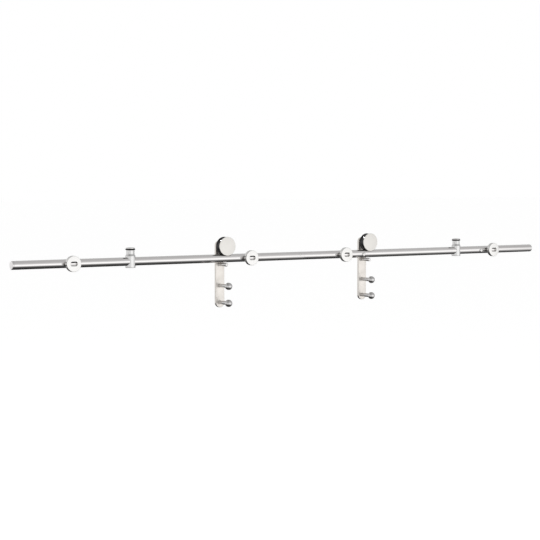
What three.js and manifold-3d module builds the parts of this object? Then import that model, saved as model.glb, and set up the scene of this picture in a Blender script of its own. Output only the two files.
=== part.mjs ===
// Sliding barn door hardware: a round rail on wall standoffs, two roller hangers and two end stops.
// Millimetres. +X runs along the rail, +Y points from the wall into the room, +Z is up.
// The origin is on the wall plane at the rail's mid-length and centre height.
import * as THREE from 'three';
import { mergeVertices } from 'three/addons/utils/BufferGeometryUtils.js';
import Module from 'manifold-3d';

const wasm = await Module();
wasm.setup();

// Fits
const GAP = 0.3; // play left between pieces that touch

// Facets round a turned surface
const RAIL_FACETS = 24;
const DISC_FACETS = 28;
const BODY_FACETS = 18;
const SCREW_FACETS = 12;
const HEX = 6;

// Rail: two tubes end to end, a sleeve inside the seam and a cap at each end
const RAIL_LENGTH = 2000;
const RAIL_R = 12.5;
const RAIL_WALL = 2;
const RAIL_TO_WALL = 30; // rail axis to wall plane
const RAIL_HOLE_R = 3.5;
const CAP_HEAD = 4;
const CAP_PLUG = 18;
const JOINER_LENGTH = 120;
const JOINER_SCREW_X = -14;
const JOINER_SCREW_R = 3.6;
const JOINER_SCREW_TILT = THREE.MathUtils.degToRad(22); // above level, on the wall side
const PLUGS_X = [239, 755]; // domed plugs in the spare holes, wall side only
const PLUG_TILT = THREE.MathUtils.degToRad(-12);
const PLUG_R = 6.5;
const PLUG_RISE = 4;

// Wall connectors
const CONNECTORS_X = [-819.5, -209, 158, 800];
const FLANGE_R = 23;
const FLANGE_T = 12;
const FLANGE_HOLE_R = 11.8;
const FLANGE_FACE_T = 3.5; // wall-side web, with a slot for the wall screw
const SLOT_LENGTH = 23;
const SLOT_HEIGHT = 13;
const POST_GROOVE_R = 9; // shallow round groove across the post end
const POST_GROOVE_DEPTH = 2.9;
const POST_R = 19;
const NECK_R = 6;
const NECK_Y = -14.3;
const RAIL_BOLT_R = 3;
const RAIL_BOLT_HEAD_R = 6.5;
const RAIL_BOLT_TOP = 17;
const RAIL_BOLT_END = -18.8;

// Stops: an upright turned body bored for the rail, with a rubber ring under its cap screw
const STOPS_X = [-621, 650.5];
const STOP_R = 14.8;
const STOP_NECK_R = 11.8;
const STOP_BOTTOM = -18.5;
const STOP_SEAT = 33.5;
const BUMPER_R = 14.5;
const BUMPER_T = 3.8;
const CAP_SCREW_R = 4;
const CAP_SCREW_HEAD_R = 12.6;
const CAP_SCREW_TOP = 40.6;
const SET_SCREW_R = 3;

// Hangers
const HANGERS_X = [-288.5, 268];
const AXLE_Z = 37;
const AXLE_R = 5;
const SPACER_R = 10.5;
const SPACER_STEP_Y = 12;
const WHEEL_R = 28.8; // front cover disc
const WHEEL_REAR_R = 27.5;
const ROLLER_HALF_W = 9.6;
const GROOVE_STEPS = 8;
const COVER_T = 2;
const REAR_COVER_T = 1.2;
const RACE_HALF_W = 4.5;
const RACE_IN_R = 8;
const RACE_OUT_R = 14;
const STRAP_W = 31;
const STRAP_T = 8;
const STRAP_Y = 31; // door-side face
const STRAP_EDGE = 0.8;
const STRAP_SEAT = 1; // depth of the seats its sleeves, pin and spacer stand in
const DOOR_BOLTS_Z = [-85.5, -137.5];
const DOOR_BOLT_R = 4;
const SLEEVE_R = 5.8;
const DOME_R = 11.2;
const DOME_Y = -13.5; // dome's bearing face, on the door's far side
const DOME_LENGTH = 14;
const GUARD_PIN_Z = -20;
const GUARD_PIN_R = 5.5;
const GUARD_PIN_TIP = -7;
const GUARD_SCREW_R = 2.5;

const finishes = {
  polished: { color: 0xd4d6d8, metalness: 0.95, roughness: 0.12 },
  satin: { color: 0xcfcdc9, metalness: 0.9, roughness: 0.38 },
  screw: { color: 0xb4b6ba, metalness: 0.95, roughness: 0.25 },
  nylon: { color: 0x121213, metalness: 0, roughness: 0.3 },
  rubber: { color: 0x0d0d0d, metalness: 0, roughness: 0.85 },
};

const group = new THREE.Group();
group.name = 'sliding_barn_door_hardware';

// Adds a piece drawn about the rail axis, moved out from the wall plane.
function add(name, geometry, finish) {
  geometry.translate(0, RAIL_TO_WALL, 0);
  geometry.computeVertexNormals();
  const mesh = new THREE.Mesh(geometry, new THREE.MeshStandardMaterial(finishes[finish]));
  mesh.name = name;
  group.add(mesh);
}

function signedVolume(position, index) {
  const a = new THREE.Vector3();
  const b = new THREE.Vector3();
  const c = new THREE.Vector3();
  let sum = 0;
  for (let i = 0; i < index.length; i += 3) {
    a.fromBufferAttribute(position, index[i]);
    b.fromBufferAttribute(position, index[i + 1]);
    c.fromBufferAttribute(position, index[i + 2]);
    sum += a.dot(b.cross(c));
  }
  return sum / 6;
}

// Welds a geometry into one closed shell that faces outwards.
function weld(geometry) {
  geometry.deleteAttribute('normal');
  geometry.deleteAttribute('uv');
  const merged = mergeVertices(geometry, 1e-3);
  const index = [];
  for (let i = 0; i < merged.index.count; i += 3) {
    const [a, b, c] = [0, 1, 2].map((k) => merged.index.getX(i + k));
    if (a !== b && b !== c && a !== c) index.push(a, b, c);
  }
  if (signedVolume(merged.attributes.position, index) < 0) index.reverse();
  merged.setIndex(index);
  return merged;
}

function toManifold(geometry) {
  const vertProperties = new Float32Array(geometry.attributes.position.array);
  const triVerts = new Uint32Array(geometry.index.array);
  return new wasm.Manifold(new wasm.Mesh({ numProp: 3, vertProperties, triVerts }));
}

function toGeometry(manifold) {
  const mesh = manifold.getMesh();
  const geometry = new THREE.BufferGeometry();
  geometry.setAttribute('position', new THREE.Float32BufferAttribute(mesh.vertProperties, 3));
  geometry.setIndex(Array.from(mesh.triVerts));
  return geometry;
}

function cut(base, ...tools) {
  return toGeometry(tools.reduce((solid, tool) => solid.subtract(toManifold(tool)), toManifold(base)));
}

function join(base, ...others) {
  return toGeometry(others.reduce((solid, other) => solid.add(toManifold(other)), toManifold(base)));
}

// Turned pieces. A profile is a list of [radius, distance along the axis].
function turnedY(profile, x, z, segments = SCREW_FACETS) {
  const points = profile.map(([r, a]) => new THREE.Vector2(r, a));
  const geometry = weld(new THREE.LatheGeometry(points, segments));
  geometry.translate(x, 0, z);
  return geometry;
}

function turnedX(profile, x, segments = RAIL_FACETS) {
  const points = profile.map(([r, a]) => new THREE.Vector2(r, a));
  const geometry = weld(new THREE.LatheGeometry(points, segments));
  geometry.rotateZ(-Math.PI / 2);
  geometry.translate(x, 0, 0);
  return geometry;
}

function turnedZ(profile, x, segments = BODY_FACETS) {
  const points = profile.map(([r, a]) => new THREE.Vector2(r, a));
  const geometry = weld(new THREE.LatheGeometry(points, segments));
  geometry.rotateX(Math.PI / 2);
  geometry.translate(x, 0, 0);
  return geometry;
}

const rod = (r, from, to) => [[0, from], [r, from], [r, to], [0, to]];
const ring = (inner, outer, from, to) => [
  [inner, from], [outer, from], [outer, to], [inner, to], [inner, from],
];

// A quarter-ellipse from the rim to the axis, for domed ends that point along -axis.
function domeProfile(r, from, to, steps) {
  return Array.from({ length: steps + 1 }, (_, i) => {
    const angle = (i / steps) * (Math.PI / 2);
    return [i === 0 ? 0 : r * Math.sin(angle), to + (from - to) * Math.cos(angle)];
  });
}

// Rail -------------------------------------------------------------------------------------------

const tubeEnd = RAIL_LENGTH / 2 - CAP_HEAD - GAP;
const boreR = RAIL_R - RAIL_WALL;

// The room the rail takes up in a piece that fits round it.
const railShape = (x) => turnedX(rod(RAIL_R + GAP, -60, 60), x);

// A turned piece along the rail's radius on the wall side, tilted above level.
function radial(profile, x, tilt, segments = SCREW_FACETS) {
  const geometry = turnedY(profile, 0, 0, segments);
  geometry.rotateX(-tilt);
  geometry.translate(x, 0, 0);
  return geometry;
}

// The same, as a plain rod between two distances from the rail axis.
const radialRod = (r, near, far, x, tilt = 0, segments = SCREW_FACETS) =>
  radial(rod(r, -far, -near), x, tilt, segments);

function addRail() {
  for (const [side, name] of [[-1, 'left'], [1, 'right']]) {
    const from = side < 0 ? -tubeEnd : GAP / 2;
    const tube = turnedX(ring(boreR, RAIL_R, from, from + tubeEnd - GAP / 2), 0);
    const drills = CONNECTORS_X.filter((x) => x * side > 0).map((x) =>
      radialRod(RAIL_HOLE_R, -RAIL_R - 2, RAIL_R + 2, x));
    for (const x of PLUGS_X.filter((plugX) => plugX * side > 0)) {
      drills.push(radialRod(RAIL_HOLE_R, 5, RAIL_R + 2, x, PLUG_TILT));
    }
    if (JOINER_SCREW_X * side > 0) {
      drills.push(radialRod(JOINER_SCREW_R + GAP, 5, RAIL_R + 2, JOINER_SCREW_X, JOINER_SCREW_TILT));
    }
    add(`rail_tube_${name}`, cut(tube, ...drills), 'polished');

    const plugR = boreR - GAP;
    const cap = turnedX([
      [0, tubeEnd - CAP_PLUG], [plugR, tubeEnd - CAP_PLUG],
      [plugR, tubeEnd + GAP], [RAIL_R, tubeEnd + GAP], [RAIL_R, tubeEnd + GAP + 2.4],
      [RAIL_R - 1.6, tubeEnd + GAP + CAP_HEAD], [0, tubeEnd + GAP + CAP_HEAD],
    ], 0);
    if (side < 0) cap.rotateZ(Math.PI);
    add(`end_cap_${name}`, cap, 'polished');
  }

  const joinerR = boreR - GAP;
  const joiner = turnedX(rod(joinerR, -JOINER_LENGTH / 2, JOINER_LENGTH / 2), 0);
  const tapped = radialRod(JOINER_SCREW_R + GAP, 3, RAIL_R + 2, JOINER_SCREW_X, JOINER_SCREW_TILT);
  add('rail_joiner', cut(joiner, tapped), 'satin');

  const screw = radialRod(JOINER_SCREW_R, 3.5, RAIL_R + 0.5, JOINER_SCREW_X, JOINER_SCREW_TILT);
  const socket = radialRod(1.7, 10, RAIL_R + 2, JOINER_SCREW_X, JOINER_SCREW_TILT, HEX);
  add('joiner_screw', cut(screw, socket), 'screw');
}

function addPlug(x, number) {
  const head = radial([
    ...domeProfile(PLUG_R, -RAIL_R - PLUG_RISE, -RAIL_R - 0.8, 4), [PLUG_R, -9], [0, -9],
  ], x, PLUG_TILT);
  const shank = radialRod(RAIL_HOLE_R - GAP, 8.5, RAIL_R + 1.5, x, PLUG_TILT);
  const saddledHead = weld(cut(head, railShape(x)));
  add(`rail_plug_${number}`, join(saddledHead, shank), 'polished');
}

// Wall connectors --------------------------------------------------------------------------------

const wallFace = -RAIL_TO_WALL;

// An oblong cutter through the flange's web, along the rail.
function slotShape(x) {
  const from = wallFace - 1;
  const to = wallFace + FLANGE_FACE_T + 0.5;
  const endR = SLOT_HEIGHT / 2;
  const endX = SLOT_LENGTH / 2 - endR;
  const middle = weld(new THREE.BoxGeometry(2 * endX, to - from, SLOT_HEIGHT));
  middle.translate(x, (from + to) / 2, 0);
  const ends = [-endX, endX].map((shift) => turnedY(rod(endR, from, to), x + shift, 0, RAIL_FACETS));
  return weld(join(middle, ...ends));
}

function addConnector(x, number) {
  const flangeBack = wallFace + FLANGE_T;
  const rim = FLANGE_R - 0.8;
  const disc = turnedY([
    [0, wallFace], [rim, wallFace], [FLANGE_R, wallFace + 0.8],
    [FLANGE_R, flangeBack - 0.8], [rim, flangeBack], [0, flangeBack],
  ], x, 0, DISC_FACETS);
  const socket = turnedY(rod(FLANGE_HOLE_R, wallFace + FLANGE_FACE_T, flangeBack + 1), x, 0, DISC_FACETS);
  add(`wall_flange_${number}`, cut(disc, socket, slotShape(x)), 'polished');

  const spigotR = FLANGE_HOLE_R - GAP;
  const postEnd = wallFace + FLANGE_FACE_T + GAP;
  const post = turnedY([
    [0, postEnd], [spigotR, postEnd], [spigotR, flangeBack + GAP], [POST_R, flangeBack + GAP],
    [POST_R, NECK_Y - 0.5], [POST_R - 0.5, NECK_Y], [NECK_R, NECK_Y], [NECK_R, -9], [0, -9],
  ], x, 0, DISC_FACETS);
  const bore = turnedY(rod(RAIL_BOLT_R + GAP, RAIL_BOLT_END - 0.5, -5), x, 0);
  const groove = turnedX(rod(POST_GROOVE_R, -FLANGE_R, FLANGE_R), x);
  groove.translate(0, postEnd + POST_GROOVE_DEPTH - POST_GROOVE_R, 0);
  add(`standoff_post_${number}`, cut(post, railShape(x), bore, groove), 'polished');

  const head = turnedY([
    [0, 9], [RAIL_BOLT_HEAD_R, 9], [RAIL_BOLT_HEAD_R, RAIL_BOLT_TOP - 2.6],
    [RAIL_BOLT_HEAD_R - 2, RAIL_BOLT_TOP], [0, RAIL_BOLT_TOP],
  ], x, 0);
  const drive = turnedY(rod(2.3, RAIL_BOLT_TOP - 2, RAIL_BOLT_TOP + 1), x, 0, HEX);
  const shank = turnedY(rod(RAIL_BOLT_R, RAIL_BOLT_END, RAIL_R + 1.2), x, 0);
  const saddledHead = cut(head, railShape(x), drive);
  add(`rail_bolt_${number}`, join(weld(saddledHead), shank), 'screw');
}

// Stops ------------------------------------------------------------------------------------------

function addStop(x, side) {
  const bodyBlank = turnedZ([
    [0, STOP_BOTTOM], [STOP_R - 0.8, STOP_BOTTOM], [STOP_R, STOP_BOTTOM + 0.8], [STOP_R, 16.5],
    [STOP_NECK_R + 0.7, 20], [STOP_NECK_R, 23], [STOP_NECK_R, STOP_SEAT], [0, STOP_SEAT],
  ], x, RAIL_FACETS);
  const capBore = turnedZ(rod(CAP_SCREW_R + GAP, 18, STOP_SEAT + 1), x, SCREW_FACETS);
  const setScrewBore = turnedZ(rod(SET_SCREW_R + GAP, STOP_BOTTOM - 1, -5), x, SCREW_FACETS);
  add(`stop_body_${side}`, cut(bodyBlank, railShape(x), capBore, setScrewBore), 'polished');

  const setScrewTop = -RAIL_R - GAP - 0.2;
  const setScrew = turnedZ(rod(SET_SCREW_R, STOP_BOTTOM + 0.4, setScrewTop), x, SCREW_FACETS);
  const drive = turnedZ(rod(1.7, STOP_BOTTOM - 1, STOP_BOTTOM + 2.6), x, HEX);
  add(`stop_set_screw_${side}`, cut(setScrew, drive), 'screw');

  const ringFrom = STOP_SEAT + GAP;
  const ringTo = ringFrom + BUMPER_T;
  const ringBore = CAP_SCREW_R + GAP;
  add(`stop_bumper_${side}`, turnedZ([
    [ringBore, ringFrom], [BUMPER_R - 0.8, ringFrom], [BUMPER_R, ringFrom + 0.8],
    [BUMPER_R, ringTo - 0.8], [BUMPER_R - 0.8, ringTo], [ringBore, ringTo], [ringBore, ringFrom],
  ], x, RAIL_FACETS), 'rubber');

  const headFrom = ringTo + GAP;
  add(`stop_cap_screw_${side}`, turnedZ([
    [0, 19], [CAP_SCREW_R, 19], [CAP_SCREW_R, headFrom], [CAP_SCREW_HEAD_R, headFrom],
    [CAP_SCREW_HEAD_R, CAP_SCREW_TOP - 1.4], [CAP_SCREW_HEAD_R - 2, CAP_SCREW_TOP],
    [0, CAP_SCREW_TOP],
  ], x, RAIL_FACETS), 'polished');
}

// Hangers ----------------------------------------------------------------------------------------

// The wheel's tread radius at distance y from its mid-plane, following the rail with a little play.
const treadR = (y) => AXLE_Z - Math.sqrt((RAIL_R + GAP) ** 2 - y * y);

function addWheel(x, side) {
  const bearingR = RACE_OUT_R + GAP;
  const groove = Array.from({ length: GROOVE_STEPS + 1 }, (_, i) => {
    const y = -ROLLER_HALF_W + (2 * ROLLER_HALF_W * i) / GROOVE_STEPS;
    return [treadR(y), y];
  });
  add(`wheel_roller_${side}`, turnedY([
    [bearingR, -ROLLER_HALF_W], ...groove, [bearingR, ROLLER_HALF_W], [bearingR, -ROLLER_HALF_W],
  ], x, AXLE_Z, DISC_FACETS), 'nylon');

  const inFace = ROLLER_HALF_W + GAP;
  const outFace = inFace + COVER_T;
  const rearFace = inFace + REAR_COVER_T;
  const spigotR = RACE_OUT_R - 0.1;
  add(`wheel_cover_front_${side}`, turnedY([
    [0, -outFace], [WHEEL_R - 0.5, -outFace], [WHEEL_R, -outFace + 0.5], [WHEEL_R, -inFace],
    [spigotR, -inFace], [spigotR, -RACE_HALF_W - 1.2], [spigotR - 2, -RACE_HALF_W - 1.2],
    [spigotR - 2, -inFace], [0, -inFace],
  ], x, AXLE_Z, DISC_FACETS), 'satin');
  add(`wheel_cover_rear_${side}`, turnedY([
    [RACE_IN_R + 1.2, inFace], [WHEEL_REAR_R, inFace], [WHEEL_REAR_R, rearFace - 0.5],
    [WHEEL_REAR_R - 0.5, rearFace], [RACE_IN_R + 1.2, rearFace], [RACE_IN_R + 1.2, inFace],
  ], x, AXLE_Z, DISC_FACETS), 'nylon');

  const shieldR = RACE_IN_R + 0.5;
  add(`bearing_outer_${side}`, turnedY([
    [shieldR, -4], [RACE_OUT_R, -RACE_HALF_W], [RACE_OUT_R, RACE_HALF_W], [shieldR, 4],
    [shieldR, 3], [RACE_OUT_R - 2.5, 3], [RACE_OUT_R - 2.5, -3], [shieldR, -3], [shieldR, -4],
  ], x, AXLE_Z, BODY_FACETS), 'screw');
}

function addHanger(x, side) {
  const strapBack = STRAP_Y + STRAP_T;
  const outerFace = strapBack + GAP;
  const seat = STRAP_Y + STRAP_SEAT - GAP;
  const halfW = STRAP_W / 2 - STRAP_EDGE;
  const outline = new THREE.Shape();
  outline.absarc(0, AXLE_Z, halfW, 0, Math.PI, false);
  outline.absarc(0, DOOR_BOLTS_Z[1], halfW, Math.PI, 2 * Math.PI, false);
  outline.closePath();
  const holes = [[AXLE_R, SPACER_R, AXLE_Z], [GUARD_SCREW_R, GUARD_PIN_R, GUARD_PIN_Z],
    ...DOOR_BOLTS_Z.map((z) => [DOOR_BOLT_R, SLEEVE_R, z])];
  const blank = weld(new THREE.ExtrudeGeometry(outline, {
    depth: STRAP_T - 2 * STRAP_EDGE, curveSegments: 12,
    bevelSize: STRAP_EDGE, bevelThickness: STRAP_EDGE, bevelSegments: 1,
  }));
  blank.rotateX(Math.PI / 2);
  blank.translate(x, strapBack - STRAP_EDGE, 0);
  const drills = holes.flatMap(([r, seatR, z]) => [
    turnedY(rod(r + GAP, STRAP_Y - 1, strapBack + 1), x, z),
    turnedY(rod(seatR + GAP, STRAP_Y - 1, STRAP_Y + STRAP_SEAT), x, z, BODY_FACETS),
  ]);
  add(`strap_plate_${side}`, cut(blank, ...drills), 'satin');

  // Axle: bolt through the strap, spacer, inner race and nut
  const axleBolt = turnedY([
    [0, -7.8], [AXLE_R, -7.8], [AXLE_R, outerFace], [9, outerFace],
    [9, outerFace + 2.6], [7.6, outerFace + 4], [0, outerFace + 4],
  ], x, AXLE_Z, BODY_FACETS);
  const axleDrive = turnedY(rod(3.2, outerFace + 1.4, outerFace + 5), x, AXLE_Z, HEX);
  add(`axle_bolt_${side}`, cut(axleBolt, axleDrive), 'screw');
  const axleHole = AXLE_R + GAP;
  add(`axle_spacer_${side}`, turnedY([
    [axleHole, RACE_HALF_W + GAP], [RACE_IN_R - 0.3, RACE_HALF_W + GAP], [RACE_IN_R - 0.3, SPACER_STEP_Y],
    [SPACER_R, SPACER_STEP_Y], [SPACER_R, seat], [axleHole, seat],
    [axleHole, RACE_HALF_W + GAP],
  ], x, AXLE_Z, BODY_FACETS), 'polished');
  const raceProfile = ring(axleHole, RACE_IN_R, -RACE_HALF_W, RACE_HALF_W);
  add(`bearing_inner_${side}`, turnedY(raceProfile, x, AXLE_Z, BODY_FACETS), 'screw');
  const nutFace = -RACE_HALF_W - GAP;
  const nutProfile = ring(axleHole, RACE_IN_R - 0.2, nutFace - 2.6, nutFace);
  add(`axle_nut_${side}`, turnedY(nutProfile, x, AXLE_Z, BODY_FACETS), 'screw');

  // Guard pin under the rail
  const pin = turnedY([
    [0, GUARD_PIN_TIP], [GUARD_PIN_R - 1.6, GUARD_PIN_TIP], [GUARD_PIN_R, GUARD_PIN_TIP + 1.6],
    [GUARD_PIN_R, seat], [0, seat],
  ], x, GUARD_PIN_Z, BODY_FACETS);
  const pinBore = turnedY(rod(GUARD_SCREW_R + GAP, 15, STRAP_Y + 1), x, GUARD_PIN_Z);
  add(`guard_pin_${side}`, cut(pin, pinBore), 'polished');
  const pinScrew = turnedY([
    [0, 16.5], [GUARD_SCREW_R, 16.5], [GUARD_SCREW_R, outerFace], [4.8, outerFace],
    [4.8, outerFace + 1.8], [3.6, outerFace + 3], [0, outerFace + 3],
  ], x, GUARD_PIN_Z);
  const pinDrive = turnedY(rod(1.7, outerFace + 1, outerFace + 4), x, GUARD_PIN_Z, HEX);
  add(`guard_pin_screw_${side}`, cut(pinScrew, pinDrive), 'screw');

  // Door bolts: a screw from the strap's outer side into a domed sleeve nut
  DOOR_BOLTS_Z.forEach((z, i) => {
    const place = i === 0 ? 'upper' : 'lower';
    const screw = turnedY([
      [0, -8], [DOOR_BOLT_R, -8], [DOOR_BOLT_R, outerFace],
      [8, outerFace], [8, outerFace + 2.8], [6.4, outerFace + 4.4], [0, outerFace + 4.4],
    ], x, z, BODY_FACETS);
    const drive = turnedY(rod(2.9, outerFace + 1.6, outerFace + 5), x, z, HEX);
    add(`door_screw_${place}_${side}`, cut(screw, drive), 'screw');
    const tip = DOME_Y - DOME_LENGTH;
    add(`door_sleeve_nut_${place}_${side}`, turnedY([
      ...domeProfile(DOME_R, tip, DOME_Y - 4, 5), [DOME_R, DOME_Y - 0.8], [DOME_R - 0.8, DOME_Y],
      [SLEEVE_R, DOME_Y], [SLEEVE_R, seat], [DOOR_BOLT_R + GAP, seat],
      [DOOR_BOLT_R + GAP, -9], [0, -9],
    ], x, z, BODY_FACETS), 'polished');
  });
}

addRail();
PLUGS_X.forEach((x, i) => addPlug(x, i + 1));
CONNECTORS_X.forEach((x, i) => addConnector(x, i + 1));
[['left', 0], ['right', 1]].forEach(([side, i]) => {
  addStop(STOPS_X[i], side);
  addHanger(HANGERS_X[i], side);
  addWheel(HANGERS_X[i], side);
});

export default group;
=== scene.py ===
"""Sliding barn door hardware: round rail, wall connectors, roller hangers and end stops."""
import math
import bpy
import bmesh
from mathutils import Matrix, Vector


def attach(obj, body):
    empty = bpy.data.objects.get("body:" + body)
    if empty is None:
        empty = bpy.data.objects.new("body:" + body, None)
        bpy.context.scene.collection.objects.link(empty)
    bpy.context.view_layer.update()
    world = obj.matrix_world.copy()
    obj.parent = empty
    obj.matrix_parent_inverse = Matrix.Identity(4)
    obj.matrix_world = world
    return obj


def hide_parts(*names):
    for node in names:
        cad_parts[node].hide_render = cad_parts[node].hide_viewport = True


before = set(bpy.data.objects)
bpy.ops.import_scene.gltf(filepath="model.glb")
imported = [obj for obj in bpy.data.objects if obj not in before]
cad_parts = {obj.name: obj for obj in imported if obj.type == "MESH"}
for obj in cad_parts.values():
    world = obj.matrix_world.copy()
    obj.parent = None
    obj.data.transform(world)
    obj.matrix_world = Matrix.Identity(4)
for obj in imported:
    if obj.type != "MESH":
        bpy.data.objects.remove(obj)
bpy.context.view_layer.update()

MM = 0.001
TAU = 2 * math.pi

# Sizes in millimetres, as in the CAD. Places along an axis are measured from the rail's axis.
RAIL_OUT = 30  # wall plane to rail axis
GAP = 0.3  # play between pieces that touch
RAIL_R, RAIL_WALL, RAIL_HALF = 12.5, 2, 1000
RAIL_HOLE_R = 3.5
SEAM_GAP = 0.06  # drawn closer than in the CAD, where it is GAP
CAP_HEAD, CAP_PLUG = 4, 18
PLUGS = (239, 755)
PLUG_R, PLUG_FACE_R, PLUG_RISE = 6.5, 4.8, 4
SCREW_X, SCREW_R = -14, 3.6
SCREW_TILT, PLUG_TILT = math.radians(22), math.radians(-12)

CONNECTORS = (-819.5, -209, 158, 800)
FLANGE_R, FLANGE_T, FLANGE_HOLE, FLANGE_FACE_T = 23, 12, 11.8, 3.5
SLOT_LENGTH, SLOT_HEIGHT = 23, 13
POST_R, POST_NECK_R, POST_NECK_Y = 19, 6, -14.3
GROOVE_R, GROOVE_DEPTH = 9, 2.9
BOLT_R, BOLT_HEAD_R, BOLT_TOP, BOLT_END = 3, 6.5, 17, -18.8

STOPS = {"left": -621, "right": 650.5}
STOP_R, STOP_NECK_R, STOP_BOTTOM, STOP_SEAT = 14.8, 11.8, -18.5, 33.5
RING_R, RING_T = 14.5, 3.8
CAP_SCREW_R, CAP_SCREW_HEAD_R, CAP_SCREW_TOP = 4, 12.6, 40.6
SET_SCREW_R = 3

HANGERS = {"left": -288.5, "right": 268}
AXLE_Z, AXLE_R = 37, 5
WHEEL_R, REAR_R, ROLLER_HALF = 28.8, 27.5, 9.6
COVER_T, REAR_COVER_T = 2, 1.2
RACE_IN, RACE_OUT, RACE_HALF = 8, 14, 4.5
SPACER_R, SPACER_STEP_Y = 10.5, 12
STRAP_W, STRAP_T, STRAP_Y, STRAP_SEAT = 31, 8, 31, 1
SEAT = STRAP_Y + STRAP_SEAT - GAP  # where the sleeves, pin and spacer end inside the strap
DOOR_BOLTS = {"upper": -85.5, "lower": -137.5}
DOOR_BOLT_R, SLEEVE_R = 4, 5.8
DOME_R, DOME_TIP, DOME_SHOULDER, DOME_FACE = 11.2, -27.5, -17.5, -13.5
PIN_Z, PIN_R, PIN_TIP, PIN_SCREW_R = -20, 5.5, -7, 2.5


# Materials --------------------------------------------------------------------------------------

def material(name, color, metallic, roughness):
    """A Principled material and the helpers that build its node graph."""
    mat = bpy.data.materials.new(name)
    mat.use_nodes = True
    nodes = mat.node_tree.nodes
    shader = nodes["Principled BSDF"]
    shader.inputs["Base Color"].default_value = (*color, 1)
    shader.inputs["Metallic"].default_value = metallic
    shader.inputs["Roughness"].default_value = roughness
    return mat, shader


def node(mat, kind, inputs=None, **props):
    made = mat.node_tree.nodes.new(kind)
    for key, value in props.items():
        setattr(made, key, value)
    for key, value in (inputs or {}).items():
        if isinstance(value, bpy.types.NodeSocket):
            mat.node_tree.links.new(value, made.inputs[key])
        else:
            made.inputs[key].default_value = value
    return made


def link(mat, out, socket):
    mat.node_tree.links.new(out, socket)


def spread(mat, value, low, high, from_low=0.3, from_high=0.7):
    """A texture's grey mapped to a range, clamped at both ends."""
    made = node(mat, "ShaderNodeMapRange", {"Value": value, "From Min": from_low,
                "From Max": from_high, "To Min": low, "To Max": high})
    return made.outputs["Result"]


def tint(mat, factor, dark, light):
    made = node(mat, "ShaderNodeMix", {"Factor": factor}, data_type="RGBA")
    made.inputs["A"].default_value = (*dark, 1)
    made.inputs["B"].default_value = (*light, 1)
    return made.outputs["Result"]


def steel(name, color, roughness, grain, grain_depth, spotting=0.03):
    """Stainless steel: grain lines stretched along one axis, soft clouding and fine wipe marks.

    grain is the scale of the line noise along X, Y and Z; the small value is along the lines.
    """
    mat, shader = material(name, color, 1.0, roughness)
    coord = node(mat, "ShaderNodeTexCoord").outputs["Object"]
    lines_at = node(mat, "ShaderNodeMapping", {"Vector": coord, "Scale": grain}).outputs["Vector"]
    lines = node(mat, "ShaderNodeTexNoise", {"Vector": lines_at, "Scale": 1.0, "Detail": 4.0,
                 "Roughness": 0.6}).outputs["Fac"]
    clouds = node(mat, "ShaderNodeTexNoise", {"Vector": coord, "Scale": 35.0, "Detail": 3.0,
                  "Distortion": 0.4}).outputs["Fac"]
    wipes = node(mat, "ShaderNodeTexNoise", {"Vector": coord, "Scale": 240.0, "Detail": 2.0,
                 "Distortion": 1.2}).outputs["Fac"]
    base = tint(mat, spread(mat, clouds, 0, 1), tuple(c * (1 - spotting) for c in color), color)
    link(mat, base, shader.inputs["Base Color"])
    cloud_rough = spread(mat, clouds, roughness * 0.8, roughness * 1.25)
    wipe_rough = spread(mat, wipes, 0, roughness * 0.25, 0.5, 0.75)
    rough = node(mat, "ShaderNodeMath", operation="ADD")
    link(mat, cloud_rough, rough.inputs[0])
    link(mat, wipe_rough, rough.inputs[1])
    link(mat, rough.outputs["Value"], shader.inputs["Roughness"])
    bump = node(mat, "ShaderNodeBump", {"Height": lines, "Strength": 0.5, "Distance": grain_depth})
    link(mat, bump.outputs["Normal"], shader.inputs["Normal"])
    return mat


def painted_shade_above(mat, height, width, amount):
    """Paints shade into a steel's colour: dark above a height on the piece, standing in for the shade
    under a slot's top edge.
    """
    shader = mat.node_tree.nodes["Principled BSDF"]
    base = shader.inputs["Base Color"].links[0].from_socket
    coord = node(mat, "ShaderNodeTexCoord").outputs["Object"]
    up = node(mat, "ShaderNodeSeparateXYZ", {"Vector": coord}).outputs["Z"]
    blend = spread(mat, up, 0, amount, (height - width / 2) * MM, (height + width / 2) * MM)
    mix = node(mat, "ShaderNodeMix", data_type="RGBA")
    link(mat, blend, mix.inputs["Factor"])
    link(mat, base, mix.inputs["A"])
    # near-black colour of the painted shade
    mix.inputs["B"].default_value = (0.03, 0.03, 0.03, 1)
    link(mat, mix.outputs["Result"], shader.inputs["Base Color"])


def turned_steel(name, color, roughness, pitch, depth):
    """A face turned on a lathe about Y: concentric tool marks round the piece's own centre."""
    mat, shader = material(name, color, 1.0, roughness)
    coord = node(mat, "ShaderNodeTexCoord").outputs["Object"]
    flat = node(mat, "ShaderNodeMapping", {"Vector": coord, "Scale": (1, 0, 1)}).outputs["Vector"]
    radius = node(mat, "ShaderNodeVectorMath", {0: flat}, operation="LENGTH").outputs["Value"]
    ring_at = node(mat, "ShaderNodeCombineXYZ", {"X": radius}).outputs["Vector"]
    rings = node(mat, "ShaderNodeTexNoise", {"Vector": ring_at, "Scale": 1 / (pitch * MM),
                 "Detail": 3.0}).outputs["Fac"]
    clouds = node(mat, "ShaderNodeTexNoise", {"Vector": coord, "Scale": 45.0, "Detail": 3.0,
                  "Distortion": 0.5}).outputs["Fac"]
    base = tint(mat, spread(mat, clouds, 0, 1), tuple(c * 0.97 for c in color), color)
    link(mat, base, shader.inputs["Base Color"])
    link(mat, spread(mat, rings, roughness * 0.85, roughness * 1.15), shader.inputs["Roughness"])
    bump = node(mat, "ShaderNodeBump", {"Height": rings, "Strength": 0.4, "Distance": depth})
    link(mat, bump.outputs["Normal"], shader.inputs["Normal"])
    return mat


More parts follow.
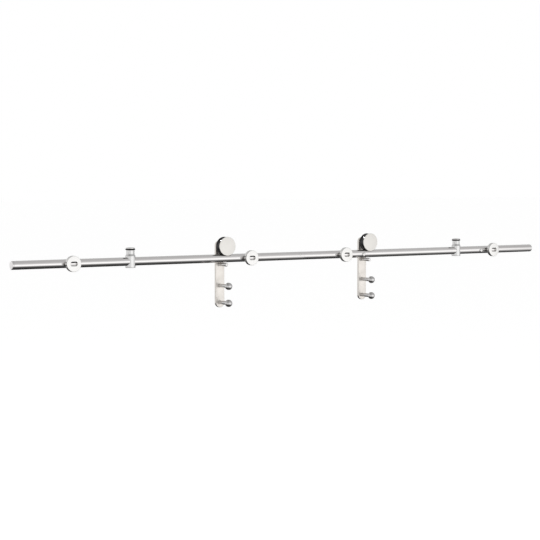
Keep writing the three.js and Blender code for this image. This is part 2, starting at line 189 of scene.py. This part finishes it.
def black_plastic(name, color, roughness, scale, depth, specular):
    """Moulded black plastic or rubber: fine grain, dusty lighter patches and a soft sheen."""
    mat, shader = material(name, color, 0.0, roughness)
    shader.inputs["Specular IOR Level"].default_value = specular
    coord = node(mat, "ShaderNodeTexCoord").outputs["Object"]
    grain = node(mat, "ShaderNodeTexNoise", {"Vector": coord, "Scale": scale, "Detail": 5.0,
                 "Roughness": 0.65}).outputs["Fac"]
    dust = node(mat, "ShaderNodeTexNoise", {"Vector": coord, "Scale": 60.0, "Detail": 4.0,
                "Distortion": 0.6}).outputs["Fac"]
    light = tuple(c * 1.9 for c in color)
    link(mat, tint(mat, spread(mat, dust, 0, 1, 0.45, 0.8), color, light), shader.inputs["Base Color"])
    link(mat, spread(mat, dust, roughness * 0.85, roughness * 1.3), shader.inputs["Roughness"])
    bump = node(mat, "ShaderNodeBump", {"Height": grain, "Strength": 0.35, "Distance": depth})
    link(mat, bump.outputs["Normal"], shader.inputs["Normal"])
    return mat


BRIGHT = (0.868, 0.848, 0.841)
rail_steel = steel("rail_polish", BRIGHT, 0.10, (6, 900, 900), 0.00002)
bright_steel = steel("bright_polish", BRIGHT, 0.09, (500, 500, 500), 0.00001)
strap_steel = steel("strap_satin", (0.83, 0.79, 0.745), 0.34, (1600, 1600, 10), 0.00003)
disc_steel = turned_steel("disc_satin", (0.80, 0.78, 0.745), 0.36, 0.35, 0.00003)
flange_steel = turned_steel("flange_polish", (0.83, 0.822, 0.808), 0.24, 0.5, 0.00001)
nut_steel = steel("nut_polish", (0.68, 0.67, 0.665), 0.09, (500, 500, 500), 0.00001)
post_steel = steel("post_polish", BRIGHT, 0.09, (500, 500, 500), 0.00001)
# painted shade: the post's colour goes dark above 2.6 mm over the rail's axis, for the shade under the
# slot's top edge
painted_shade_above(post_steel, 2.6, 1.6, 0.85)
stop_steel = steel("stop_polish", (0.77, 0.765, 0.76), 0.2, (300, 300, 40), 0.00002)
screw_steel = steel("screw_bright", (0.72, 0.72, 0.73), 0.20, (700, 700, 700), 0.00002)
joint_steel = steel("joint_satin", (0.97, 0.96, 0.94), 0.3, (700, 700, 700), 0.00002)
inner_steel = steel("inner_turned", (0.66, 0.66, 0.67), 0.28, (900, 60, 900), 0.00003)
tread_nylon = black_plastic("tread_nylon", (0.008, 0.008, 0.009), 0.16, 900, 0.00003, 0.55)
cover_nylon = black_plastic("cover_nylon", (0.008, 0.008, 0.009), 0.24, 1100, 0.00003, 0.45)
ring_rubber = black_plastic("ring_rubber", (0.007, 0.007, 0.007), 0.55, 1400, 0.00008, 0.3)


# Mesh work --------------------------------------------------------------------------------------

def rounded(profile, steps=5):
    """A profile of (radius, along, fillet) with every fillet drawn as an arc."""
    points = [Vector(p[:2]) for p in profile]
    fillets = [p[2] if len(p) > 2 else 0 for p in profile]
    out = []
    for i, (corner, fillet) in enumerate(zip(points, fillets)):
        if not fillet:
            out.append(corner)
            continue
        to_prev = (points[i - 1] - corner)
        to_next = (points[(i + 1) % len(points)] - corner)
        reach = min(fillet, to_prev.length * 0.49, to_next.length * 0.49)
        a = corner + to_prev.normalized() * reach
        b = corner + to_next.normalized() * reach
        for k in range(steps + 1):
            t = k / steps
            weight = 1 / math.sqrt(2)
            parts = ((1 - t) ** 2, 2 * t * (1 - t) * weight, t * t)
            total = sum(parts)
            out.append((a * parts[0] + corner * parts[1] + b * parts[2]) / total)
    return out


def turned_mesh(profile, axis, segments, closed=False):
    """A bmesh turned about X, Y or Z. An open profile starts and ends on the axis."""
    bm = bmesh.new()
    rings = []
    for r, along in rounded(profile):
        if r < 1e-6:
            rings.append([bm.verts.new((0, 0, along * MM))])
        else:
            rings.append([bm.verts.new((r * math.cos(TAU * k / segments) * MM,
                          r * math.sin(TAU * k / segments) * MM, along * MM))
                          for k in range(segments)])
    pairs = list(zip(rings, rings[1:]))
    if closed:
        pairs.append((rings[-1], rings[0]))
    for low, high in pairs:
        for k in range(segments):
            n = (k + 1) % segments
            corners = [low[k % len(low)], low[n % len(low)], high[n % len(high)], high[k % len(high)]]
            unique = list(dict.fromkeys(corners))
            if len(unique) > 2:
                bm.faces.new(unique)
    turn = {"X": Matrix.Rotation(math.pi / 2, 4, "Y"), "Y": Matrix.Rotation(-math.pi / 2, 4, "X"),
            "Z": Matrix.Identity(4)}[axis]
    bmesh.ops.transform(bm, matrix=turn, verts=bm.verts)
    bmesh.ops.recalc_face_normals(bm, faces=bm.faces)
    return bm


def to_object(name, bm, place=(0, 0, 0)):
    mesh = bpy.data.meshes.new(name)
    bm.to_mesh(mesh)
    bm.free()
    obj = bpy.data.objects.new(name, mesh)
    bpy.context.scene.collection.objects.link(obj)
    obj.location = Vector(place) * MM
    return obj


def cut_away(obj, *cutters):
    """Subtracts bmeshes, given in the object's own frame, and keeps the result as its mesh."""
    helpers = []
    for bm in cutters:
        helper = to_object("cutter", bm)
        helper.location = obj.location
        helpers.append(helper)
        mod = obj.modifiers.new("cut", "BOOLEAN")
        mod.operation, mod.solver, mod.object = "DIFFERENCE", "EXACT", helper
    apply_modifiers(obj)
    for helper in helpers:
        bpy.data.objects.remove(helper, do_unlink=True)


def weld_to(obj, other):
    """Unites another object's solid with obj and removes the other."""
    mod = obj.modifiers.new("join", "BOOLEAN")
    mod.operation, mod.solver, mod.object = "UNION", "EXACT", other
    apply_modifiers(obj)
    bpy.data.objects.remove(other, do_unlink=True)


def apply_modifiers(obj):
    bpy.context.view_layer.update()
    shape = bpy.data.meshes.new_from_object(obj.evaluated_get(bpy.context.evaluated_depsgraph_get()))
    obj.modifiers.clear()
    old, obj.data = obj.data, shape
    bpy.data.meshes.remove(old)


def finish_piece(obj, mat, body, slot, *nodes):
    """Smooth shading up to an angle, the material, and its place on the frame."""
    obj.data.materials.clear()
    obj.data.materials.append(mat)
    obj.data.polygons.foreach_set("use_smooth", [True] * len(obj.data.polygons))
    obj.data.set_sharp_from_angle(angle=math.radians(32))
    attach(obj, body)
    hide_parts(*nodes)
    return obj


def piece(node_name, profile, axis, place, mat, body, slot, segments=64, closed=False, cuts=()):
    """A turned piece that stands for one CAD node, with cutters taken away from it."""
    obj = to_object(node_name + "_fine", turned_mesh(profile, axis, segments, closed), place)
    if cuts:
        cut_away(obj, *cuts)
    return finish_piece(obj, mat, body, slot, node_name)


def rod(r, low, high, axis="Y", segments=32, shift=(0, 0, 0)):
    """A plain cutter along an axis; six segments make a hex drive."""
    bm = turned_mesh([(0, low), (r, low), (r, high), (0, high)], axis, segments)
    bmesh.ops.translate(bm, vec=Vector(shift) * MM, verts=bm.verts)
    return bm


def radial(profile, tilt, shift_x=0, segments=32):
    """A turned mesh on the rail's radius, tilted above level on the wall side."""
    bm = turned_mesh(profile, "Y", segments)
    bmesh.ops.rotate(bm, cent=(0, 0, 0), matrix=Matrix.Rotation(-tilt, 3, "X"), verts=bm.verts)
    bmesh.ops.translate(bm, vec=Vector((shift_x, 0, 0)) * MM, verts=bm.verts)
    return bm


def radial_rod(r, near, far, tilt, shift_x=0, segments=32):
    return radial([(0, -far), (r, -far), (r, -near), (0, -near)], tilt, shift_x, segments)


def dome(r, tip, shoulder, steps=14):
    """Half of an ellipse from the tip on the axis out to the shoulder."""
    return [(r * math.sin(k / steps * math.pi / 2),
             shoulder + (tip - shoulder) * math.cos(k / steps * math.pi / 2))
            for k in range(steps + 1)]


# Rail -------------------------------------------------------------------------------------------

def in_room(x=0.0, z=0.0):
    """A place on the rail's axis line, in the row frame, in millimetres."""
    return (x, RAIL_OUT, z)


def rail_cutter():
    """The room the rail takes up in a piece that fits round it."""
    return rod(RAIL_R + GAP, -60, 60, "X", 128)


def build_rail():
    end = RAIL_HALF - CAP_HEAD - GAP
    bore, outside = RAIL_R - RAIL_WALL, RAIL_R + 2
    for side, name in ((-1, "left"), (1, "right")):
        low, high = sorted((side * SEAM_GAP / 2, side * end))
        cuts = [rod(RAIL_HOLE_R, -outside, outside, shift=(x, 0, 0))
                for x in CONNECTORS if x * side > 0]
        cuts += [radial_rod(RAIL_HOLE_R, 5, outside, PLUG_TILT, x) for x in PLUGS if x * side > 0]
        if SCREW_X * side > 0:
            cuts.append(radial_rod(SCREW_R + GAP, 5, outside, SCREW_TILT, SCREW_X))
        piece(f"rail_tube_{name}",
              [(bore, low), (RAIL_R, low, 0.05), (RAIL_R, high, 0.05), (bore, high)],
              "X", in_room(), rail_steel, "rail_assembly", "polished_steel", 128, closed=True,
              cuts=cuts)

        face = end + GAP
        profile = [(0, end - CAP_PLUG), (bore - GAP, end - CAP_PLUG, 1), (bore - GAP, face),
                   (RAIL_R, face, 0.3), (RAIL_R, face + CAP_HEAD, 2.2), (0, face + CAP_HEAD)]
        profile = [(p[0], p[1] * side, *p[2:]) for p in profile]
        piece(f"end_cap_{name}", profile, "X", in_room(), bright_steel, "rail_assembly",
              "polished_steel", 96)

    screw = to_object("joiner_screw_fine", radial(
        [*dome(SCREW_R, -RAIL_R - 0.5, -RAIL_R + 0.2), (SCREW_R, -3.5, 0.4), (0, -3.5)],
        SCREW_TILT), in_room(SCREW_X))
    cut_away(screw, radial_rod(1.7, 10, outside, SCREW_TILT, segments=6))
    finish_piece(screw, joint_steel, "rail_assembly", "screw_steel", "joiner_screw")


def build_plug(number, x):
    """A low domed plug: a head saddled on the rail and a shank through its wall."""
    tip = -RAIL_R - PLUG_RISE
    head = to_object(f"rail_plug_{number}_fine", radial(
        [(0, tip), (PLUG_FACE_R, tip + 0.3, 2), (PLUG_R, -RAIL_R - 1.4, 1.5), (PLUG_R, -9), (0, -9)],
        PLUG_TILT, segments=56), in_room(x))
    cut_away(head, rail_cutter())
    shank = to_object("shank", radial_rod(RAIL_HOLE_R - GAP, 8.5, RAIL_R + 1.5, PLUG_TILT), in_room(x))
    weld_to(head, shank)
    finish_piece(head, joint_steel, "rail_assembly", "polished_steel", f"rail_plug_{number}")


# Wall connectors --------------------------------------------------------------------------------

def slot_cutter(wall, web):
    """An oblong cutter along the rail, a little wider where it meets the flange's face."""
    end_r, end_x, steps = SLOT_HEIGHT / 2, (SLOT_LENGTH - SLOT_HEIGHT) / 2, 24
    bm = bmesh.new()
    loops = []
    for y, grow in ((wall - 1, 1.4), (wall + 0.4, 0), (web + 0.5, 0)):
        loop = []
        for end in (1, -1):
            for step in range(steps + 1):
                turn = math.pi * (step / steps - end / 2)
                loop.append(bm.verts.new(((end_x * end + (end_r + grow) * math.cos(turn)) * MM,
                                          y * MM, (end_r + grow) * math.sin(turn) * MM)))
        loops.append(loop)
    count = len(loops[0])
    for low, high in zip(loops, loops[1:]):
        for k in range(count):
            bm.faces.new((low[k], low[(k + 1) % count], high[(k + 1) % count], high[k]))
    bm.faces.new(loops[0][::-1])
    bm.faces.new(loops[-1])
    bmesh.ops.recalc_face_normals(bm, faces=bm.faces)
    return bm


def build_connector(number, x):
    """A flange, the post in its bore that stands on the rail, and the bolt through both."""
    wall = -RAIL_OUT
    back, web = wall + FLANGE_T, wall + FLANGE_FACE_T
    piece(f"wall_flange_{number}",
          [(0, wall), (FLANGE_R, wall, 1.0), (FLANGE_R, back, 1.0), (0, back)],
          "Y", in_room(x), flange_steel, "rail_assembly", "polished_steel", 96,
          cuts=[rod(FLANGE_HOLE, web, back + 1, segments=96), slot_cutter(wall, web)])

    spigot, post_end = FLANGE_HOLE - GAP, web + GAP
    groove = rod(GROOVE_R, -FLANGE_R, FLANGE_R, "X", 96,
                 shift=(0, post_end + GROOVE_DEPTH - GROOVE_R, 0))
    piece(f"standoff_post_{number}",
          [(0, post_end), (spigot, post_end, 0.5), (spigot, back + GAP), (POST_R, back + GAP, 0.5),
           (POST_R, POST_NECK_Y, 0.6), (POST_NECK_R, POST_NECK_Y, 0.4), (POST_NECK_R, -9), (0, -9)],
          "Y", in_room(x), post_steel, "rail_assembly", "polished_steel", 96,
          cuts=[rail_cutter(), rod(BOLT_R + GAP, BOLT_END - 0.5, -5), groove])

    head = to_object(f"rail_bolt_{number}_fine", turned_mesh(
        [(0, 9), (BOLT_HEAD_R, 9), (BOLT_HEAD_R, BOLT_TOP - 2.4, 1.2),
         (BOLT_HEAD_R - 1.9, BOLT_TOP, 1.6), (0, BOLT_TOP)], "Y", 56), in_room(x))
    cut_away(head, rail_cutter(), rod(2.3, BOLT_TOP - 2, BOLT_TOP + 1, segments=6))
    shank = to_object("shank", turned_mesh(
        [(0, BOLT_END), (BOLT_R, BOLT_END, 0.5), (BOLT_R, RAIL_R + 0.7), (0, RAIL_R + 0.7)],
        "Y", 32), in_room(x))
    weld_to(head, shank)
    finish_piece(head, screw_steel, "rail_assembly", "screw_steel", f"rail_bolt_{number}")


# Stops ------------------------------------------------------------------------------------------

def build_stop(side):
    x, body = STOPS[side], f"stop_{side}"
    low = STOP_BOTTOM + 0.4
    piece(f"stop_body_{side}",
          [(0, STOP_BOTTOM), (STOP_R, STOP_BOTTOM, 1.2), (STOP_R, 16.6, 1.0),
           (STOP_NECK_R + 0.6, 20.2, 1.6), (STOP_NECK_R, 23, 1.0), (STOP_NECK_R, STOP_SEAT, 0.4),
           (0, STOP_SEAT)],
          "Z", in_room(x), stop_steel, body, "polished_steel", 96,
          cuts=[rail_cutter(), rod(CAP_SCREW_R + GAP, 18, STOP_SEAT + 1, "Z"),
                rod(SET_SCREW_R + GAP, STOP_BOTTOM - 1, -5, "Z")])
    piece(f"stop_set_screw_{side}",
          [(0, low), (SET_SCREW_R, low, 0.4), (SET_SCREW_R, -RAIL_R - 0.5), (0, -RAIL_R - 0.5)],
          "Z", in_room(x), screw_steel, body, "screw_steel", 32,
          cuts=[rod(1.7, STOP_BOTTOM - 1, STOP_BOTTOM + 2.6, "Z", 6)])

    ring_low, ring_high = STOP_SEAT + GAP, STOP_SEAT + GAP + RING_T
    ring_bore = CAP_SCREW_R + GAP
    piece(f"stop_bumper_{side}",
          [(ring_bore, ring_low), (RING_R, ring_low, 1.2), (RING_R, ring_high, 1.2),
           (ring_bore, ring_high)],
          "Z", in_room(x), ring_rubber, body, "black_rubber", 96, closed=True)
    head = ring_high + GAP
    piece(f"stop_cap_screw_{side}",
          [(0, 19), (CAP_SCREW_R, 19, 0.5), (CAP_SCREW_R, head), (CAP_SCREW_HEAD_R, head, 0.3),
           (CAP_SCREW_HEAD_R, CAP_SCREW_TOP, 1.7), (0, CAP_SCREW_TOP)],
          "Z", in_room(x), bright_steel, body, "polished_steel", 96)


# Hangers ----------------------------------------------------------------------------------------

def build_wheel(side):
    x, body = HANGERS[side], f"wheel_{side}"
    centre = in_room(x, AXLE_Z)
    steps = 22
    tread = [(AXLE_Z - math.sqrt((RAIL_R + GAP) ** 2 - y * y), y)
             for y in (-ROLLER_HALF + 2 * ROLLER_HALF * k / steps for k in range(steps + 1))]
    bore = RACE_OUT + GAP
    piece(f"wheel_roller_{side}", [(bore, -ROLLER_HALF), *tread, (bore, ROLLER_HALF)],
          "Y", centre, tread_nylon, body, "black_nylon", 128, closed=True)

    inner, outer = ROLLER_HALF + GAP, ROLLER_HALF + GAP + COVER_T
    collar, collar_end = RACE_OUT - 0.1, -RACE_HALF - 1.2
    piece(f"wheel_cover_front_{side}",
          [(0, -outer), (WHEEL_R, -outer, 0.7), (WHEEL_R, -inner, 0.2), (collar, -inner),
           (collar, collar_end), (collar - 2, collar_end), (collar - 2, -inner), (0, -inner)],
          "Y", centre, disc_steel, body, "satin_steel", 128)
    rear_bore, rear = RACE_IN + 1.2, inner + REAR_COVER_T
    piece(f"wheel_cover_rear_{side}",
          [(rear_bore, inner), (REAR_R, inner, 0.2), (REAR_R, rear, 0.5), (rear_bore, rear, 0.3)],
          "Y", centre, cover_nylon, body, "black_nylon", 128, closed=True)

    shield = RACE_IN + 0.5
    piece(f"bearing_outer_{side}",
          [(shield, -4, 0.2), (RACE_OUT, -RACE_HALF, 0.4), (RACE_OUT, RACE_HALF, 0.4),
           (shield, 4, 0.2), (shield, 3), (RACE_OUT - 2.5, 3), (RACE_OUT - 2.5, -3), (shield, -3)],
          "Y", centre, inner_steel, body, "screw_steel", 72, closed=True)


def strap_mesh():
    """The strap's full-radius outline, extruded away from the wall."""
    bm = bmesh.new()
    half, steps = STRAP_W / 2, 40
    arc = [(half * math.cos(math.pi * k / steps), half * math.sin(math.pi * k / steps))
           for k in range(steps + 1)]
    outline = [(px, AXLE_Z + pz) for px, pz in arc]
    outline += [(-px, DOOR_BOLTS["lower"] - pz) for px, pz in arc]
    near = [bm.verts.new((px * MM, STRAP_Y * MM, pz * MM)) for px, pz in outline]
    face = bm.faces.new(near)
    far = bmesh.ops.extrude_face_region(bm, geom=[face])
    moved = [g for g in far["geom"] if isinstance(g, bmesh.types.BMVert)]
    bmesh.ops.translate(bm, vec=(0, STRAP_T * MM, 0), verts=moved)
    bmesh.ops.recalc_face_normals(bm, faces=bm.faces)
    edges = [e for e in bm.edges if len(e.link_faces) == 2 and e.calc_face_angle() > 1]
    bmesh.ops.bevel(bm, geom=edges, offset=0.9 * MM, segments=4, profile=0.5, affect="EDGES")
    return bm


def build_strap(side):
    x = HANGERS[side]
    strap = to_object(f"strap_plate_{side}_fine", strap_mesh(), in_room(x))
    holes = [(AXLE_R, SPACER_R, AXLE_Z), (PIN_SCREW_R, PIN_R, PIN_Z),
             *((DOOR_BOLT_R, SLEEVE_R, z) for z in DOOR_BOLTS.values())]
    cuts = []
    for r, seat_r, z in holes:
        cuts.append(rod(r + GAP, STRAP_Y - 1, STRAP_Y + STRAP_T + 1, shift=(0, 0, z), segments=48))
        cuts.append(rod(seat_r + GAP, STRAP_Y - 1, STRAP_Y + STRAP_SEAT, shift=(0, 0, z), segments=64))
    cut_away(strap, *cuts)
    finish_piece(strap, strap_steel, f"hanger_{side}", "satin_steel", f"strap_plate_{side}")


def button_screw(name, place, body, shank_r, tip, head_r, height, hex_r):
    """A screw from the strap's outer face: a low domed head with a hex socket."""
    under = STRAP_Y + STRAP_T + GAP
    piece(name, [(0, tip), (shank_r, tip, 0.6), (shank_r, under), (head_r, under, 0.3),
                 (head_r, under + height * 0.62, 1.0), (head_r - 1.7, under + height, 1.2),
                 (0, under + height)],
          "Y", place, screw_steel, body, "screw_steel", 64,
          cuts=[rod(hex_r, under + height * 0.36, under + height + 1, segments=6)])


def build_hanger(side):
    x, body = HANGERS[side], f"hanger_{side}"
    build_strap(side)
    axle = in_room(x, AXLE_Z)
    hole = AXLE_R + GAP
    button_screw(f"axle_bolt_{side}", axle, body, AXLE_R, -7.8, 9, 4, 3.2)
    near, sleeve = RACE_HALF + GAP, RACE_IN - 0.3
    piece(f"axle_spacer_{side}",
          [(hole, near), (sleeve, near, 0.2), (sleeve, SPACER_STEP_Y), (SPACER_R, SPACER_STEP_Y, 0.6),
           (SPACER_R, SEAT, 0.3), (hole, SEAT)],
          "Y", axle, bright_steel, body, "polished_steel", 64, closed=True)
    piece(f"bearing_inner_{side}",
          [(hole, -RACE_HALF, 0.2), (RACE_IN, -RACE_HALF, 0.3), (RACE_IN, RACE_HALF, 0.3),
           (hole, RACE_HALF, 0.2)],
          "Y", axle, inner_steel, body, "screw_steel", 56, closed=True)
    nut_r, nut_end = RACE_IN - 0.2, -near - 2.6
    piece(f"axle_nut_{side}",
          [(hole, nut_end), (nut_r, nut_end, 0.4), (nut_r, -near, 0.2), (hole, -near)],
          "Y", axle, inner_steel, body, "screw_steel", 56, closed=True)

    pin = in_room(x, PIN_Z)
    piece(f"guard_pin_{side}", [(0, PIN_TIP), (PIN_R, PIN_TIP, 1.8), (PIN_R, SEAT, 0.3), (0, SEAT)],
          "Y", pin, nut_steel, body, "polished_steel", 64,
          cuts=[rod(PIN_SCREW_R + GAP, 15, STRAP_Y + 1)])
    button_screw(f"guard_pin_screw_{side}", pin, body, PIN_SCREW_R, 16.5, 4.8, 3, 1.7)

    for place, z in DOOR_BOLTS.items():
        at = in_room(x, z)
        button_screw(f"door_screw_{place}_{side}", at, body, DOOR_BOLT_R, -8, 8, 4.4, 2.9)
        build_sleeve_nut(f"door_sleeve_nut_{place}_{side}", at, body)


def build_sleeve_nut(name, place, body):
    """A domed nut with a thin groove behind the dome and a sleeve that runs to the strap."""
    bore, waist, collar = DOOR_BOLT_R + GAP, DOME_R - 0.6, DOME_R - 0.2
    piece(name,
          [*dome(DOME_R, DOME_TIP, DOME_SHOULDER), (DOME_R, -15.2, 0.2), (waist, -14.9),
           (waist, -14.4), (collar, -14.1, 0.2), (collar, DOME_FACE, 0.3), (SLEEVE_R, DOME_FACE),
           (SLEEVE_R, SEAT, 0.3), (bore, SEAT), (bore, -9), (0, -9)],
          "Y", place, nut_steel, body, "polished_steel", 72)


build_rail()
for number, x in enumerate(PLUGS, 1):
    build_plug(number, x)
for number, x in enumerate(CONNECTORS, 1):
    build_connector(number, x)
for side in ("left", "right"):
    build_stop(side)
    build_hanger(side)
    build_wheel(side)
# The sleeve inside the seam is hidden, so its CAD mesh is carried over with a steel of its own.
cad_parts["rail_joiner"].data.materials.clear()
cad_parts["rail_joiner"].data.materials.append(inner_steel)


# Studio -----------------------------------------------------------------------------------------

# How bright the room looks to the metal at each height: (height of the direction, level).
FRONT_LEVELS = ((-1, 0.03), (-0.82, 0.075), (-0.66, 0.18), (-0.36, 0.97), (-0.2, 1.25), (0, 1.25),
                (0.15, 1.1), (0.35, 0.73), (0.65, 0.58), (0.82, 0.52), (1, 0.5))
BACK_LEFT_LEVELS = ((-1, 0.03), (-0.6, 0.05), (-0.4, 0.15), (-0.25, 0.5), (-0.1, 0.85), (0, 0.92),
                    (0.3, 0.8), (0.6, 0.6), (1, 0.5))
BACK_RIGHT_LEVELS = ((-1, 0.03), (-0.4, 0.04), (-0.15, 0.07), (0, 0.16), (0.15, 0.34), (0.35, 0.52),
                     (0.6, 0.55), (1, 0.5))


def studio_world():
    """White to the camera. Metal sees a softbox in front, a dimmer room behind and a dark floor."""
    world = bpy.data.worlds.new("studio")
    bpy.context.scene.world = world
    world.use_nodes = True
    tree = world.node_tree
    tree.nodes.clear()

    def add(kind, inputs=None, **props):
        made = tree.nodes.new(kind)
        for key, value in props.items():
            setattr(made, key, value)
        for key, value in (inputs or {}).items():
            if isinstance(value, bpy.types.NodeSocket):
                tree.links.new(value, made.inputs[key])
            else:
                made.inputs[key].default_value = value
        return made

    def levels(height, stops):
        """A grey level for each height of the direction, from straight down at -1 to up at 1."""
        at = add("ShaderNodeMapRange", {"Value": height, "From Min": -1, "From Max": 1})
        ramp = add("ShaderNodeValToRGB", {"Fac": at.outputs["Result"]})
        elements = ramp.color_ramp.elements
        while len(elements) < len(stops):
            elements.new(0.5)
        for element, (z, level) in zip(elements, stops):
            element.position = (z + 1) / 2
            element.color = (level, level, level, 1)
        return ramp.outputs["Color"]

    def band(value, low, high, to_low=0.0, to_high=1.0):
        made = add("ShaderNodeMapRange", {"Value": value, "From Min": low, "From Max": high,
                   "To Min": to_low, "To Max": to_high}, interpolation_type="SMOOTHSTEP")
        return made.outputs["Result"]

    direction = add("ShaderNodeTexCoord").outputs["Generated"]
    split = add("ShaderNodeSeparateXYZ", {0: direction}).outputs

    def blend(factor, low, high):
        made = add("ShaderNodeMix", {"Factor": factor}, data_type="RGBA")
        tree.links.new(low, made.inputs["A"])
        tree.links.new(high, made.inputs["B"])
        return made.outputs["Result"]

    shade = add("ShaderNodeMath", {0: band(split["X"], -0.4, 0.0, 0.72, 1.0),
                1: band(split["X"], 0.62, 0.86, 1.0, 0.72)}, operation="MULTIPLY").outputs["Value"]
    front = add("ShaderNodeVectorMath", {0: levels(split["Z"], FRONT_LEVELS), 3: shade},
                operation="SCALE").outputs["Vector"]
    back = blend(band(split["X"], -0.2, 0.3), levels(split["Z"], BACK_LEFT_LEVELS),
                 levels(split["Z"], BACK_RIGHT_LEVELS))
    room = blend(band(split["Y"], -0.2, 0.3), front, back)
    studio = add("ShaderNodeBackground", {"Color": room})
    seen = add("ShaderNodeBackground", {"Color": (1, 1, 1, 1), "Strength": 1.0})
    path = add("ShaderNodeLightPath")
    mix = add("ShaderNodeMixShader", {0: path.outputs["Is Camera Ray"], 1: studio.outputs["Background"],
              2: seen.outputs["Background"]})
    add("ShaderNodeOutputWorld", {"Surface": mix.outputs["Shader"]})


def studio_floor():
    mat, shader = material("floor_pale", (0.9, 0.9, 0.9), 0.0, 0.9)
    shader.inputs["Emission Color"].default_value = (1, 1, 1, 1)
    shader.inputs["Emission Strength"].default_value = 0.5
    bm = bmesh.new()
    bmesh.ops.create_grid(bm, x_segments=1, y_segments=1, size=90)
    floor = to_object("studio_floor", bm, (0, 0, -900))
    floor.data.materials.append(mat)
    floor.visible_glossy = False


def area_light(name, place, target, size, power):
    data = bpy.data.lights.new(name, "AREA")
    data.shape, data.size, data.energy = "DISK", size, power
    light = bpy.data.objects.new(name, data)
    light.location = place
    aim = Vector(target) - Vector(place)
    light.rotation_euler = aim.to_track_quat("-Z", "Y").to_euler()
    bpy.context.scene.collection.objects.link(light)
    return light


def tread_glint():
    """A lamp behind and above that only the black treads see, for the white streak on each."""
    light = area_light("glint", (-0.2, 4.0, 2.75), (0, 0, 0), 0.8, 250)
    treads = bpy.data.collections.new("treads")
    for side in HANGERS:
        treads.objects.link(bpy.data.objects[f"wheel_roller_{side}_fine"])
    light.light_linking.receiver_collection = treads


def camera():
    """On the wall side, low and to the left, looking along the rail and slightly down."""
    azimuth, elevation = math.radians(34.51), math.radians(3.35)
    data = bpy.data.cameras.new("camera")
    data.sensor_width, data.lens = 36, 97.5
    data.clip_end = 200
    cam = bpy.data.objects.new("camera", data)
    cam.location = (-2.7134, -3.7373, 0.2260)
    ahead = Vector((math.sin(azimuth) * math.cos(elevation), math.cos(azimuth) * math.cos(elevation),
                    -math.sin(elevation)))
    cam.rotation_euler = ahead.to_track_quat("-Z", "Y").to_euler()
    bpy.context.scene.collection.objects.link(cam)
    bpy.context.scene.camera = cam


studio_world()
studio_floor()
key = area_light("key", (-1.5, -2.5, 2.6), (0, 0, 0), 1.2, 30)
key.visible_glossy = False  # the rail would mirror it as a burnt-out streak
tread_glint()
camera()
bpy.context.scene.view_settings.view_transform = "Standard"
